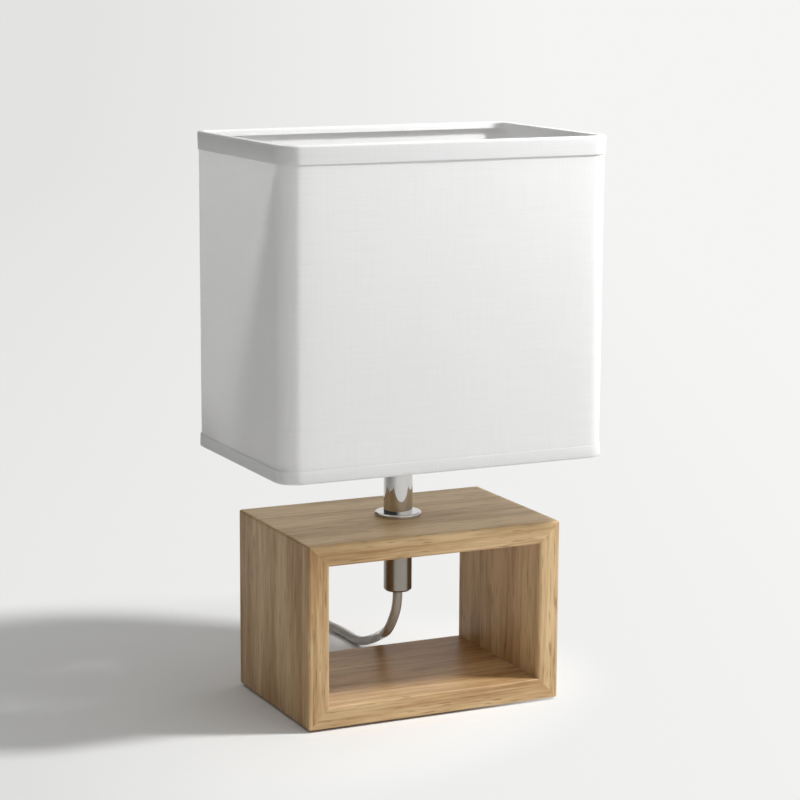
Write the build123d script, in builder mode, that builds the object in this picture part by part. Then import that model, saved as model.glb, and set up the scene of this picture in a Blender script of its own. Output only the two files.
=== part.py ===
"""Bedside lamp: box shade on a short stem, over an open frame of four mitred boards.

Millimetres, +Z up, front towards -Y. The origin is on the table under the middle of the base.
"""
import math
import os

from build123d import *

os.makedirs("parts", exist_ok=True)

# Base: four mitred boards on felt pads
BASE_W = 150.0
BASE_D = 98.0
BASE_H = 100.5
BOARD_T = 12.0
EDGE_R = 1.4
PAD_R = 6.0
PAD_T = 1.0
PAD_INSET = 14.0
DOWEL_R = 2.0
DOWEL_L = 10.0
DOWEL_SPACING = 60.0
DOWEL_FIT = 0.05

# Stem: flange and tube, clamped to the top board by a hollow threaded rod
STEM_R = 8.0
STEM_WALL = 1.2
STEM_L = 36.0
FLANGE_R = 13.0
FLANGE_T = 2.4
FLANGE_EDGE_R = 1.0
ROD_R = 5.0
ROD_BORE_R = 3.4
ROD_HOLE_FIT = 0.25
THREAD_FIT = 0.05
WASHER_R = 11.0
WASHER_T = 1.2
NUT_FLATS = 14.0
NUT_T = 4.0

# Cord grip: a barrel on the rod's lower end, with a split bush and a side screw
GRIP_R = 7.8
GRIP_L = 25.3
GRIP_CHAMFER = 1.0
GRIP_LIP = 1.6
GRIP_THREAD_L = 12.0
BUSH_WALL = 1.7
BUSH_SLIT = 1.0
BUSH_FIT = 0.05
GRIP_SCREW_R = 1.5
GRIP_SCREW_FIT = 0.05
SLOT_W = 0.6
SLOT_DEPTH = 0.5

# Cord
CORD_R = 2.7
CORD_FIT = 0.1
LEAD_DROP = 8.5
LEAD_RUN_IN = 5.0
GAP_STEP = 1.5
GAP_SKIP = 12.0
WIRE_CORE_R = 0.9
CORE_OFFSET = 1.25

# Lamp holder, small Edison screw
DOME_R = 14.0
DOME_H = 20.0
DOME_HUB_R = 9.0
DOME_SLOPE_H = 9.0
DOME_WALL = 1.8
DOME_THREAD_L = 10.0
HOLDER_R = 12.6
HOLDER_H = 32.0
HOLDER_THREAD_R = 13.6
HOLDER_THREAD_H = 16.0
HOLDER_BORE_R = 8.6
SHOULDER_R = 17.0
SHOULDER_T = 2.0
SPIGOT_L = 5.0
BLOCK_R = 9.6
BLOCK_H = 8.0
BLOCK_SEAT = 8.0
RING_R = 18.0
RING_H = 7.0
RING_RIB_COUNT = 24
RING_RIB_R = 0.6
TERMINAL_R = 1.7
TERMINAL_L = 3.0
TERMINAL_SPACING = 10.0
SHELL_WALL = 0.4
SHELL_L = 15.0
TONGUE_T = 0.4
TONGUE_L = 9.0
TONGUE_W = 3.0
TONGUE_RISE = 1.4

# Bulb, round, opal
GLOBE_R = 22.5
BULB_L = 78.0
GLASS_T = 1.0
NECK_R = 6.8
CAP_R = 6.95
CAP_WALL = 0.4
CAP_L = 18.0
CAP_PITCH = 2.82
CAP_GROOVE = 0.35
CAP_TURNS = 5
BULB_FIT = 0.08
FOOT_R = 2.4
FOOT_T = 0.8
INSULATOR_R = 5.6
INSULATOR_T = 2.4
FOOT_GAP = 0.15

# Shade: cotton cover on a stiff liner, folded over a wire at top and bottom
SHADE_W = 190.5
SHADE_D = 125.5
SHADE_H = 174.0
SHADE_CORNER_R = 11.0
SHADE_DROP = 23.9
COVER_T = 0.5
LINER_T = 0.5
HEM_T = 0.8
TOP_HEM_H = 9.8
BOTTOM_HEM_H = 7.0
HEM_FOLD_H = 6.0
WIRE_R = 1.0
WIRE_GAP = 0.05
CARRIER_R = 22.0
CARRIER_T = 1.5
CARRIER_FIT = 0.35
ARM_R = 1.3
ARM_FIT = 0.3

# Inline switch, its length along Y
SWITCH_X = 11.0
SWITCH_Y = 177.0
SWITCH_L = 54.0
SWITCH_W = 24.0
SWITCH_H = 17.0
SWITCH_SPLIT = 6.6
SWITCH_CORNER_R = 9.0
SWITCH_WALL = 1.6
SWITCH_EDGE_R = 1.4
SWITCH_INSERT = 7.0
ROCKER_R = 10.4
ROCKER_W = 11.0
ROCKER_GAP = 0.35
ROCKER_PIVOT_Z = 13.4
ROCKER_TOP = 4.2
ROCKER_DISH = 1.2
ROCKER_SKIRT = 2.0
ROCKER_NOSE = 6.0
ROCKER_NOSE_W = 3.0
ROCKER_TILT = 8.0
PIN_R = 1.0
PIN_FIT = 0.04
CHEEK_T = 2.6
CHEEK_L = 6.0
CONTACT_L = 8.0
CONTACT_W = 4.0
CONTACT_T = 0.8
CONTACT_X = 11.0
CONTACT_Y = 3.0
POST_W = 2.0
BRIDGE_GAP = 1.2
CLAMP_L = 3.0
CLAMP_W = 13.0
CLAMP_RISE = 2.0
CASE_SCREW_R = 1.4
CASE_SCREW_X = 13.0
CASE_SCREW_Y = 7.4
SCREW_BOSS_R = 2.6
SCREW_HEAD_R = 2.1
SCREW_HEAD_T = 1.0
SCREW_FIT = 0.05

# Hank of the spare cord: stacked loops drawn in at a tied waist
HANK_X = 49.5
HANK_Y = 273.5
HANK_TURN = 16.0
HANK_LOOPS = 5
HANK_HALF_RUN = 54.0
HANK_FOLD_R = 16.5
HANK_WAIST = 3.05
HANK_PITCH = 5.85
HANK_LIFT = 1.7
HANK_FLOOR = 0.05
HANK_ENTRY_A = -50.0
HANK_ENTRY_B = -22.0
TIE_W = 10.0
TIE_T = 1.2
TIE_GAP = 0.2
TIE_CORNER_R = 3.0

# Flat two-pin plug, lying on the hank
PLUG_A = -26.0
PLUG_RISE = 10.8
PLUG_L = 37.0
PLUG_W = 35.0
PLUG_REAR_W = 14.0
PLUG_FRONT_W = 26.0
PLUG_SHOULDER = 12.0
PLUG_WAIST = 23.0
PLUG_T = 13.7
PLUG_EDGE_R = 2.0
PLUG_PIN_R = 2.0
PLUG_PIN_L = 19.0
PLUG_PIN_SPACING = 19.0
PLUG_PIN_CORE_R = 1.3
PLUG_PIN_TIP_R = 0.5
PLUG_PIN_DEPTH = 11.0
PLUG_PIN_FIT = 0.05
SLEEVE_L = 10.0
SLEEVE_R = 1.7
RELIEF_L = 24.0
RELIEF_ROOT_R = 5.0
RELIEF_TIP_R = 3.5
RELIEF_RIBS = 6
RELIEF_GROOVE = 0.6

# Heights up the lamp
base_bottom = PAD_T
base_top = base_bottom + BASE_H
base_mid = base_bottom + BASE_H / 2
board_under = base_top - BOARD_T
nut_top = board_under - WASHER_T
grip_top = nut_top - NUT_T
grip_bottom = grip_top - GRIP_L
rod_bottom = grip_top - GRIP_THREAD_L
stem_bottom = base_top + FLANGE_T
dome_bottom = stem_bottom + STEM_L
rod_top = dome_bottom + DOME_THREAD_L
dome_top = dome_bottom + DOME_H
shoulder_top = dome_top + SHOULDER_T
carrier_top = shoulder_top + CARRIER_T
holder_top = dome_top + HOLDER_H
block_top = dome_top + BLOCK_SEAT
block_bottom = block_top - BLOCK_H
foot_bottom = block_top + TONGUE_RISE + TONGUE_T + FOOT_GAP
insulator_bottom = foot_bottom + FOOT_T
cap_bottom = insulator_bottom + INSULATOR_T
cap_top = cap_bottom + CAP_L
globe_z = foot_bottom + BULB_L - GLOBE_R
shade_bottom = shoulder_top - SHADE_DROP
shade_top = shade_bottom + SHADE_H
wire_inset = COVER_T + LINER_T + WIRE_GAP + WIRE_R
fold_inset = wire_inset + WIRE_R + WIRE_GAP
inner_lead_top = rod_top + CORE_OFFSET


def save(builder, label):
    """Label a finished piece and write its STEP file."""
    builder.part.label = label
    export_step(builder.part, f"parts/{label}.step")


def ring(outer, inner, bottom, top, label):
    """A plain ring about the lamp's axis."""
    with BuildPart() as piece:
        with BuildSketch(Plane.XY.offset(bottom)):
            Circle(outer)
            Circle(inner, mode=Mode.SUBTRACT)
        extrude(amount=top - bottom)
    save(piece, label)


def turned(points, label):
    """A solid turned about the lamp's axis from (radius, height) points."""
    with BuildPart() as piece:
        with BuildSketch(Plane.XZ):
            Polygon(*points, align=None)
        revolve(axis=Axis.Z)
    save(piece, label)


def bend_radii(points):
    """The largest arc that each corner of a route has room for."""
    radii = []
    for before, at, after in zip(points, points[1:], points[2:]):
        into = Vector(at) - Vector(before)
        out = Vector(after) - Vector(at)
        half_turn = math.radians(into.get_angle(out)) / 2
        radii.append(0.45 * min(into.length, out.length) / math.tan(half_turn))
    return radii


# Boards of the frame, cut at the mitres from one rounded ring
corners = [(sx, sz) for sx in (-1, 1) for sz in (-1, 1)]


def dowel_planes(sx, sz):
    """Planes through a mitre's middle, square to the joint, one for each dowel."""
    x = sx * (BASE_W - BOARD_T) / 2
    z = base_mid + sz * (BASE_H - BOARD_T) / 2
    for y in (-DOWEL_SPACING / 2, DOWEL_SPACING / 2):
        yield Plane(origin=(x, y, z), z_dir=(sx, 0, -sz))


def board_outline(side):
    """Corner points of one board, seen from the front, reaching past the outside faces."""
    w, h = BASE_W / 2, BASE_H / 2
    t = BOARD_T
    quads = {
        "top": [(-w, h), (w, h), (w - t, h - t), (t - w, h - t)],
        "bottom": [(-w, -h), (w, -h), (w - t, t - h), (t - w, t - h)],
        "left": [(-w, -h), (-w, h), (t - w, h - t), (t - w, t - h)],
        "right": [(w, -h), (w, h), (w - t, h - t), (w - t, t - h)],
    }
    return [(x, base_mid + z) for x, z in quads[side]]


for side in ("top", "bottom", "left", "right"):
    with BuildPart() as board:
        with BuildSketch(Plane.XZ):
            with Locations((0, base_mid)):
                Rectangle(BASE_W, BASE_H)
                Rectangle(BASE_W - 2 * BOARD_T, BASE_H - 2 * BOARD_T, mode=Mode.SUBTRACT)
        extrude(amount=BASE_D / 2, both=True)
        long_edges = board.edges().filter_by(Axis.Y).sort_by(lambda e: abs(e.center().X))[-4:]
        face_edges = board.edges().filter_by(Axis.Y, reverse=True)
        fillet(long_edges + face_edges, EDGE_R)
        with BuildSketch(Plane.XZ):
            Polygon(*board_outline(side), align=None)
        extrude(amount=BASE_D, both=True, mode=Mode.INTERSECT)
        for sx, sz in corners:
            for plane in dowel_planes(sx, sz):
                with BuildSketch(plane):
                    Circle(DOWEL_R + DOWEL_FIT)
                extrude(amount=DOWEL_L / 2 + DOWEL_FIT, both=True, mode=Mode.SUBTRACT)
        if side == "top":
            with BuildSketch(Plane.XY.offset(board_under)):
                Circle(ROD_R + ROD_HOLE_FIT)
            extrude(amount=BOARD_T, mode=Mode.SUBTRACT)
    save(board, f"base_{side}_board")

with BuildPart() as dowels:
    for sx, sz in corners:
        for plane in dowel_planes(sx, sz):
            with BuildSketch(plane):
                Circle(DOWEL_R)
            extrude(amount=DOWEL_L / 2, both=True)
save(dowels, "mitre_dowels")

with BuildPart() as pads:
    with BuildSketch():
        with GridLocations(BASE_W - 2 * PAD_INSET, BASE_D - 2 * PAD_INSET, 2, 2):
            Circle(PAD_R)
    extrude(amount=PAD_T)
save(pads, "felt_pads")

# Stem
with BuildPart() as flange:
    with BuildSketch(Plane.XY.offset(base_top)):
        Circle(FLANGE_R)
        Circle(ROD_R + THREAD_FIT, mode=Mode.SUBTRACT)
    extrude(amount=FLANGE_T)
    fillet(flange.edges().group_by(Axis.Z)[-1].sort_by(SortBy.RADIUS)[-1], FLANGE_EDGE_R)
save(flange, "stem_flange")
ring(STEM_R, STEM_R - STEM_WALL, stem_bottom, dome_bottom, "stem_tube")
ring(ROD_R, ROD_BORE_R, rod_bottom, rod_top, "threaded_rod")
ring(WASHER_R, ROD_R + ROD_HOLE_FIT, nut_top, board_under, "base_washer")

with BuildPart() as nut:
    with BuildSketch(Plane.XY.offset(grip_top)):
        RegularPolygon(NUT_FLATS / 2, 6, major_radius=False)
        Circle(ROD_R + THREAD_FIT, mode=Mode.SUBTRACT)
    extrude(amount=NUT_T)
save(nut, "lock_nut")

# Cord grip
bush_r = CORD_R + CORD_FIT + BUSH_WALL
bush_bottom = grip_bottom + GRIP_LIP
grip_screw_plane = Plane(origin=(0, bush_r, (bush_bottom + rod_bottom) / 2), z_dir=(0, 1, 0))
grip_screw_l = GRIP_R - bush_r

with BuildPart() as grip:
    with BuildSketch(Plane.XY.offset(grip_bottom)):
        Circle(GRIP_R)
    extrude(amount=GRIP_L)
    chamfer(grip.edges().filter_by(GeomType.CIRCLE).group_by(Axis.Z)[0], GRIP_CHAMFER)
    with BuildSketch(Plane.XY.offset(grip_bottom)):
        Circle(CORD_R + CORD_FIT)
    extrude(amount=GRIP_LIP, mode=Mode.SUBTRACT)
    with BuildSketch(Plane.XY.offset(bush_bottom)):
        Circle(bush_r + BUSH_FIT)
    extrude(amount=rod_bottom - bush_bottom, mode=Mode.SUBTRACT)
    with BuildSketch(Plane.XY.offset(rod_bottom)):
        Circle(ROD_R + THREAD_FIT)
    extrude(amount=GRIP_THREAD_L, mode=Mode.SUBTRACT)
    with BuildSketch(grip_screw_plane):
        Circle(GRIP_SCREW_R + GRIP_SCREW_FIT)
    extrude(amount=GRIP_R, mode=Mode.SUBTRACT)
save(grip, "cord_grip_barrel")

with BuildPart() as bush:
    with BuildSketch(Plane.XY.offset(bush_bottom)):
        Circle(bush_r)
        Circle(CORD_R + CORD_FIT, mode=Mode.SUBTRACT)
        with Locations((0, -bush_r)):
            Rectangle(BUSH_SLIT, 2 * bush_r - 2 * CORD_R, mode=Mode.SUBTRACT)
    extrude(amount=rod_bottom - bush_bottom)
save(bush, "cord_grip_bush")

with BuildPart() as grip_screw:
    with BuildSketch(grip_screw_plane):
        Circle(GRIP_SCREW_R)
    extrude(amount=grip_screw_l)
    with BuildSketch(grip_screw_plane.offset(grip_screw_l - SLOT_DEPTH)):
        Rectangle(SLOT_W, 2 * GRIP_SCREW_R)
    extrude(amount=SLOT_DEPTH, mode=Mode.SUBTRACT)
save(grip_screw, "grip_screw")

# Lamp holder
hub_bore = ROD_R + THREAD_FIT
slope_z = dome_bottom + DOME_SLOPE_H
turned(
    [
        (hub_bore, dome_bottom),
        (DOME_HUB_R, dome_bottom),
        (DOME_R, slope_z),
        (DOME_R, dome_top),
        (DOME_R - DOME_WALL, dome_top),
        (DOME_R - DOME_WALL, slope_z),
        (DOME_HUB_R - DOME_WALL, dome_bottom + DOME_WALL),
        (hub_bore + DOME_WALL, rod_top),
        (hub_bore, rod_top),
    ],
    "holder_dome",
)
spigot_r = DOME_R - DOME_WALL - THREAD_FIT
seat_r = BLOCK_R + THREAD_FIT
thread_top = carrier_top + HOLDER_THREAD_H
turned(
    [
        (seat_r, dome_top - SPIGOT_L),
        (spigot_r, dome_top - SPIGOT_L),
        (spigot_r, dome_top),
        (SHOULDER_R, dome_top),
        (SHOULDER_R, shoulder_top),
        (HOLDER_THREAD_R, shoulder_top),
        (HOLDER_THREAD_R, thread_top),
        (HOLDER_R, thread_top),
        (HOLDER_R, holder_top),
        (HOLDER_BORE_R, holder_top),
        (HOLDER_BORE_R, block_top),
        (seat_r, block_top),
    ],
    "holder_body",
)

with BuildPart() as shade_ring:
    with BuildSketch(Plane.XY.offset(carrier_top)):
        Circle(RING_R)
        with PolarLocations(RING_R, RING_RIB_COUNT):
            Circle(RING_RIB_R, mode=Mode.SUBTRACT)
        Circle(HOLDER_THREAD_R + THREAD_FIT, mode=Mode.SUBTRACT)
    extrude(amount=RING_H)
save(shade_ring, "shade_ring")

with BuildPart() as block:
    with BuildSketch(Plane.XY.offset(block_bottom)):
        Circle(BLOCK_R)
    extrude(amount=BLOCK_H)
save(block, "contact_block")

with BuildPart() as terminals:
    with BuildSketch(Plane.XY.offset(block_bottom - TERMINAL_L)):
        with GridLocations(TERMINAL_SPACING, 0, 2, 1):
            Circle(TERMINAL_R)
    extrude(amount=TERMINAL_L)
save(terminals, "terminal_posts")

shell_r = CAP_R + BULB_FIT
ring(shell_r + SHELL_WALL, shell_r, block_top, block_top + SHELL_L, "screw_shell")

with BuildPart() as tongue:
    with BuildSketch(Plane.XZ):
        with BuildLine():
            top_z = block_top + TONGUE_RISE + TONGUE_T
            Polyline(
                (-TONGUE_L / 2, block_top),
                (-TONGUE_L / 4, block_top),
                (0, block_top + TONGUE_RISE),
                (TONGUE_L / 4, block_top + TONGUE_RISE),
                (TONGUE_L / 4, top_z),
                (-TONGUE_T, top_z),
                (-TONGUE_L / 4 - TONGUE_T, block_top + TONGUE_T),
                (-TONGUE_L / 2, block_top + TONGUE_T),
                close=True,
            )
        make_face()
    extrude(amount=TONGUE_W / 2, both=True)
save(tongue, "centre_contact")

# Sheathed cord inside the stem and the two wires in the dome
with BuildPart() as inner_lead:
    with BuildSketch(Plane.XY.offset(grip_bottom)):
        Circle(CORD_R)
    extrude(amount=inner_lead_top - grip_bottom)
save(inner_lead, "inner_lead")

with BuildPart() as holder_wires:
    wire_top = block_bottom - TERMINAL_L
    bend_z = (wire_top - inner_lead_top) / 3
    for sx in (-1, 1):
        wire_route = [
            (sx * CORE_OFFSET, 0, inner_lead_top),
            (sx * CORE_OFFSET, 0, inner_lead_top + bend_z),
            (sx * TERMINAL_SPACING / 2, 0, wire_top - bend_z),
            (sx * TERMINAL_SPACING / 2, 0, wire_top),
        ]
        with BuildLine() as wire_path:
            FilletPolyline(*wire_route, radius=bend_radii(wire_route))
        with BuildSketch(Plane(origin=wire_route[0], z_dir=(0, 0, 1))):
            Circle(WIRE_CORE_R)
        sweep(path=wire_path.line)
save(holder_wires, "holder_wires")


# Bulb
def globe_section(inset):
    """Half section of the glass: a ball that runs by a tangent line into the neck."""
    radius = GLOBE_R - inset
    neck = NECK_R - inset
    drop = globe_z - cap_top
    reach = math.hypot(neck, drop)
    angle = math.atan2(drop, -neck) - math.asin(radius / reach)
    run = math.sqrt(reach**2 - radius**2)
    touch = (neck + run * math.cos(angle), cap_top + run * math.sin(angle))
    side = (radius * math.cos(0.6), globe_z + radius * math.sin(0.6))
    with BuildSketch(Plane.XZ) as section:
        with BuildLine():
            Line((0, cap_top), (neck, cap_top))
            Line((neck, cap_top), touch)
            ThreePointArc(touch, side, (0, globe_z + radius))
            Line((0, globe_z + radius), (0, cap_top))
        make_face()
    return section.sketch


with BuildPart() as globe:
    add(globe_section(0))
    revolve(axis=Axis.Z)
    add(globe_section(GLASS_T))
    revolve(axis=Axis.Z, mode=Mode.SUBTRACT)
save(globe, "bulb_globe")

thread_bottom = cap_bottom + CAP_WALL
cap_lip = INSULATOR_R - 2 * CAP_WALL
cap_outline = [(cap_lip, cap_bottom), (INSULATOR_R, cap_bottom), (CAP_R, thread_bottom)]
for turn in range(CAP_TURNS):
    groove = thread_bottom + (turn + 0.5) * CAP_PITCH
    cap_outline += [(CAP_R - CAP_GROOVE, groove), (CAP_R, groove + CAP_PITCH / 2)]
cap_inner = CAP_R - CAP_GROOVE - CAP_WALL
cap_outline += [(CAP_R, cap_top), (cap_inner, cap_top), (cap_inner, thread_bottom + CAP_WALL)]
cap_outline.append((cap_lip, cap_bottom + CAP_WALL))
turned(cap_outline, "bulb_cap")
turned(
    [
        (0, insulator_bottom),
        (FOOT_R, insulator_bottom),
        (INSULATOR_R, cap_bottom),
        (0, cap_bottom),
    ],
    "bulb_insulator",
)
turned(
    [
        (0, foot_bottom),
        (FOOT_R, foot_bottom),
        (FOOT_R, insulator_bottom),
        (0, insulator_bottom),
    ],
    "bulb_foot",
)


# Shade
def shade_loop(grow, mode=Mode.ADD):
    """The shade's plan, grown outwards or, below zero, drawn in."""
    RectangleRounded(SHADE_W + 2 * grow, SHADE_D + 2 * grow, SHADE_CORNER_R + grow, mode=mode)


def shade_band(outer, inner, bottom, top):
    """A band round the shade between two offsets of its plan."""
    with BuildSketch(Plane.XY.offset(bottom)) as plan:
        shade_loop(outer)
        shade_loop(inner, mode=Mode.SUBTRACT)
    extrude(plan.sketch, amount=top - bottom)


def shade_wire(height):
    """A round wire along the inside of the liner."""
    half_w = SHADE_W / 2 - wire_inset
    with BuildSketch(Plane.XY.offset(height)) as plan:
        shade_loop(-wire_inset)
    with BuildSketch(Plane(origin=(half_w, 0, height), z_dir=(0, 1, 0))) as section:
        Circle(WIRE_R)
    sweep(section.sketch, path=plan.sketch.face().outer_wire())


def arm_planes():
    """Planes at the ring for the carrier's arms, each facing its foot on the bottom wire."""
    foot_z = shade_bottom + HEM_T + WIRE_GAP + WIRE_R
    ring_z = shoulder_top + CARRIER_T / 2
    start = CARRIER_R - ARM_R
    for dx, dy, half in ((1, 0, SHADE_W), (-1, 0, SHADE_W), (0, 1, SHADE_D), (0, -1, SHADE_D)):
        reach = half / 2 - wire_inset - start
        run = math.hypot(reach, ring_z - foot_z)
        origin = (dx * start, dy * start, ring_z)
        yield Plane(origin=origin, z_dir=(dx * reach, dy * reach, foot_z - ring_z)), run


with BuildPart() as cover:
    shade_band(0, -COVER_T, shade_bottom + HEM_T, shade_top - HEM_T)
save(cover, "shade_cover")

with BuildPart() as liner:
    shade_band(-COVER_T, -COVER_T - LINER_T, shade_bottom + HEM_T, shade_top - HEM_T)
save(liner, "shade_liner")

with BuildPart() as top_hem:
    shade_band(HEM_T, 0, shade_top - TOP_HEM_H, shade_top - HEM_T)
    shade_band(HEM_T, -fold_inset - HEM_T, shade_top - HEM_T, shade_top)
    shade_band(-fold_inset, -fold_inset - HEM_T, shade_top - HEM_FOLD_H, shade_top - HEM_T)
save(top_hem, "top_hem")

with BuildPart() as bottom_hem:
    shade_band(HEM_T, 0, shade_bottom + HEM_T, shade_bottom + BOTTOM_HEM_H)
    shade_band(HEM_T, -fold_inset - HEM_T, shade_bottom, shade_bottom + HEM_T)
    shade_band(-fold_inset, -fold_inset - HEM_T, shade_bottom + HEM_T, shade_bottom + HEM_FOLD_H)
    for arm_plane, run in arm_planes():
        with BuildSketch(arm_plane):
            Circle(ARM_R + ARM_FIT)
        extrude(amount=run, mode=Mode.SUBTRACT)
save(bottom_hem, "bottom_hem")

with BuildPart() as top_wire:
    shade_wire(shade_top - HEM_T - WIRE_GAP - WIRE_R)
save(top_wire, "top_wire")

with BuildPart() as bottom_wire:
    shade_wire(shade_bottom + HEM_T + WIRE_GAP + WIRE_R)
save(bottom_wire, "bottom_wire")

ring(CARRIER_R, HOLDER_THREAD_R + CARRIER_FIT, shoulder_top, carrier_top, "carrier_ring")

with BuildPart() as arms:
    for arm_plane, run in arm_planes():
        with BuildSketch(arm_plane):
            Circle(ARM_R)
        extrude(amount=run)
    with BuildSketch(Plane.XY.offset(shoulder_top)):
        Circle(CARRIER_R)
    extrude(amount=SHADE_DROP, both=True, mode=Mode.SUBTRACT)
save(arms, "carrier_arms")

# Free stretch of the cord: from the grip over the rear edge of the base and along the table
switch_inlet = SWITCH_Y - SWITCH_L / 2
switch_outlet = SWITCH_Y + SWITCH_L / 2
lead_route = [
    (0, 0, grip_bottom),
    (0, 0, grip_bottom - LEAD_DROP),
    (-0.6, 4.5, 40.5),
    (0.3, 13.0, 32.3),
    (4.5, 27.0, 26.4),
    (13.3, 48.7, 19.2),
    (18.1, 69.9, 10.4),
    (18.6, 91.4, 2.8),
    (19.2, 113.0, 2.8),
    (17.6, 125.0, 3.1),
    (14.2, 135.5, 4.5),
    (SWITCH_X, switch_inlet - LEAD_RUN_IN, SWITCH_SPLIT),
    (SWITCH_X, switch_inlet + SWITCH_INSERT, SWITCH_SPLIT),
]
lead_radii = bend_radii(lead_route)
with BuildPart() as lamp_lead:
    with BuildLine() as lead_path:
        FilletPolyline(*lead_route, radius=lead_radii)
    with BuildSketch(Plane(origin=lead_route[0], z_dir=(0, 0, -1))):
        Circle(CORD_R)
    sweep(path=lead_path.line)
save(lamp_lead, "lamp_lead")
lead_length = lead_path.wire().length
lead_fill = lamp_lead.part.volume / (math.pi * CORD_R**2 * lead_length)
print("lamp_lead radii", [round(r, 1) for r in lead_radii])
print("lamp_lead length", round(lead_length, 1), "volume over section times length", round(lead_fill, 4))

# Hank: a and b are distances along and across it
along = Vector(math.sin(math.radians(HANK_TURN)), math.cos(math.radians(HANK_TURN)), 0)
across = Vector(along.Y, -along.X, 0)
hank_z = HANK_FLOOR + CORD_R
hank_end = HANK_HALF_RUN + HANK_FOLD_R
plug_z = hank_z + (HANK_LOOPS - 1) * HANK_PITCH + PLUG_RISE


def hank_point(a, b, z):
    """A point of the hank in the lamp's frame."""
    return Vector(HANK_X, HANK_Y, z) + along * a + across * b


def hank_knots():
    """Points of the hank's path with the cord's heading at each, from the switch to the plug."""
    ahead = Vector(0, 1, 0)
    inner_end = Vector(SWITCH_X, switch_outlet - SWITCH_INSERT, SWITCH_SPLIT)
    yield inner_end, ahead
    yield inner_end + ahead * (SWITCH_INSERT + 2 * CORD_R), ahead
    climb = along * (-HANK_HALF_RUN) + Vector(0, 0, HANK_PITCH)
    for loop in range(HANK_LOOPS):
        z = hank_z + loop * HANK_PITCH
        if loop:
            yield hank_point(-hank_end, 0, z), across * -1
            yield hank_point(-HANK_HALF_RUN, -HANK_FOLD_R, z), along
        else:
            yield hank_point(HANK_ENTRY_A, HANK_ENTRY_B, z), along
        yield hank_point(0, -HANK_WAIST, z + HANK_LIFT), along
        yield hank_point(HANK_HALF_RUN, -HANK_FOLD_R, z), along
        yield hank_point(hank_end, 0, z), across
        yield hank_point(HANK_HALF_RUN, HANK_FOLD_R, z), along * -1
        if loop < HANK_LOOPS - 1:
            yield hank_point(0, HANK_WAIST, z + HANK_PITCH / 2 + HANK_LIFT), climb.normalized()
            yield hank_point(-HANK_HALF_RUN, HANK_FOLD_R, z + HANK_PITCH), along * -1
    yield hank_point(PLUG_A + RELIEF_L + 2 * CORD_R, 0, plug_z), along * -1
    yield hank_point(PLUG_A, 0, plug_z), along * -1


def biarc(start, heading, end, end_heading):
    """Two arcs in a row that leave and arrive along the given headings."""
    chord = end - start
    if chord.get_angle(heading) + chord.get_angle(end_heading) < 0.01:
        Line(start, end)
        return
    both = heading + end_heading
    square = 2 * (1 - heading.dot(end_heading))
    pull = chord.dot(both)
    if square < 1e-9:
        reach = chord.length**2 / (2 * pull)
    else:
        reach = (math.sqrt(pull**2 + square * chord.length**2) - pull) / square
    first = start + heading * reach
    second = end - end_heading * reach
    middle = (first + second) / 2
    TangentArc(start, middle, tangent=heading)
    TangentArc(middle, end, tangent=second - first)


def least_gap(edges, step, skip):
    """Least clear gap of a tube to itself, leaving out points closer than skip along it."""
    points = []
    for edge in edges:
        count = max(2, round(edge.length / step))
        points += [tuple(edge.position_at(i / count)) for i in range(count)]
    apart = round(skip / step)
    near = min(
        math.dist(p, q) for i, p in enumerate(points) for q in points[i + apart:]
    )
    return near - 2 * CORD_R


knots = list(hank_knots())
with BuildPart() as hank:
    with BuildLine() as hank_path:
        for (start, heading), (end, end_heading) in zip(knots, knots[1:]):
            biarc(start, heading, end, end_heading)
    with BuildSketch(Plane(origin=knots[0][0], z_dir=knots[0][1])):
        Circle(CORD_R)
    sweep(path=hank_path.line)
save(hank, "cord_hank")
hank_length = hank_path.wire().length
hank_fill = hank.part.volume / (math.pi * CORD_R**2 * hank_length)
hank_arcs = [e.radius for e in hank_path.edges() if e.geom_type == GeomType.CIRCLE]
print("cord_hank length", round(hank_length, 1), "volume over section times length", round(hank_fill, 4))
print("cord_hank least arc", round(min(hank_arcs), 1))
print("cord_hank least gap to itself", round(least_gap(hank_path.edges(), GAP_STEP, GAP_SKIP), 2))

with BuildPart() as tie:
    tie_low = hank_z + HANK_LIFT - CORD_R - TIE_GAP
    tie_high = hank_z + (HANK_LOOPS - 1) * HANK_PITCH + HANK_LIFT + CORD_R + TIE_GAP
    tie_width = 2 * (HANK_WAIST + CORD_R + 2 * TIE_GAP)
    middle = hank_point(-TIE_W / 2, 0, (tie_low + tie_high) / 2)
    with BuildSketch(Plane(origin=middle, x_dir=across, z_dir=along)):
        RectangleRounded(tie_width + 2 * TIE_T, tie_high - tie_low + 2 * TIE_T, TIE_CORNER_R)
        RectangleRounded(tie_width, tie_high - tie_low, TIE_CORNER_R - TIE_T, mode=Mode.SUBTRACT)
    extrude(amount=TIE_W)
save(tie, "hank_tie")

# Inline switch, with its own x along the cord
switch_base = Plane(origin=(SWITCH_X, SWITCH_Y, 0), x_dir=(0, 1, 0), z_dir=(0, 0, 1))
cord_bore = Plane(origin=(SWITCH_X, switch_inlet, SWITCH_SPLIT), z_dir=(0, 1, 0))
pivot = Vector(SWITCH_X, SWITCH_Y, ROCKER_PIVOT_Z)
pivot_plane = Plane(origin=pivot, x_dir=(0, 1, 0), z_dir=(1, 0, 0))
rocker_heading = Vector(0, 1, 0).rotate(Axis.X, -ROCKER_TILT)
cheek_inner = ROCKER_W / 2 + ROCKER_GAP
insert_x = SWITCH_L / 2 - SWITCH_INSERT
clamp_x = (insert_x + SWITCH_L / 2 - SWITCH_WALL) / 2
screw_places = [(-CASE_SCREW_X, -CASE_SCREW_Y), (CASE_SCREW_X, -CASE_SCREW_Y)]


def case_plan(inset):
    """The switch case's plan, drawn in by a wall."""
    RectangleRounded(SWITCH_L - 2 * inset, SWITCH_W - 2 * inset, SWITCH_CORNER_R - inset)


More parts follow.
